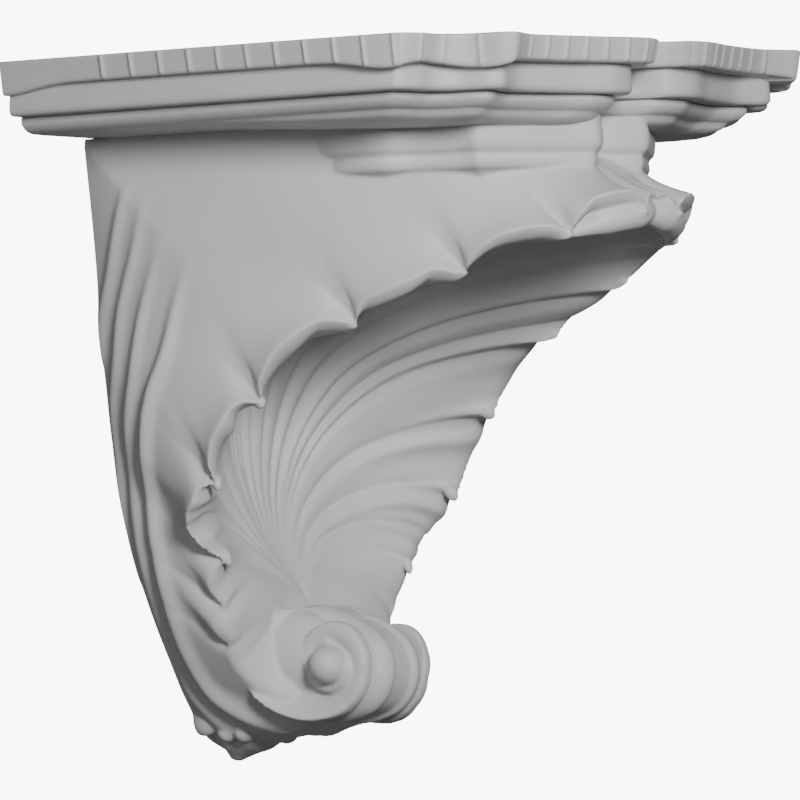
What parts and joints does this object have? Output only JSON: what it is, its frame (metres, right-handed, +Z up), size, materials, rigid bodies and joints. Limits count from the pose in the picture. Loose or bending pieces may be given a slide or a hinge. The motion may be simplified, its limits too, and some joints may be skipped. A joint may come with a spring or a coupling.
{
  "type": "shelf corbel",
  "caption": "Wall corbel with a fluted serpentine shelf top carried by an open ruffled shell that rolls into a scroll above a small leaf.",
  "frame": {"origin": "on the flat wall face, on the piece's middle line, 120 mm under the shelf top", "axes": "+Z up, +Y into the wall, -Y towards the room, X along the wall; the piece is the same on both sides of X = 0"},
  "size_m": [0.3572, 0.2862, 0.3439],
  "materials": {
    "primer": "factory primed, matte white"
  },
  "bodies": {
    "root": {"corbel": "primer"}
  },
  "joints": []
}
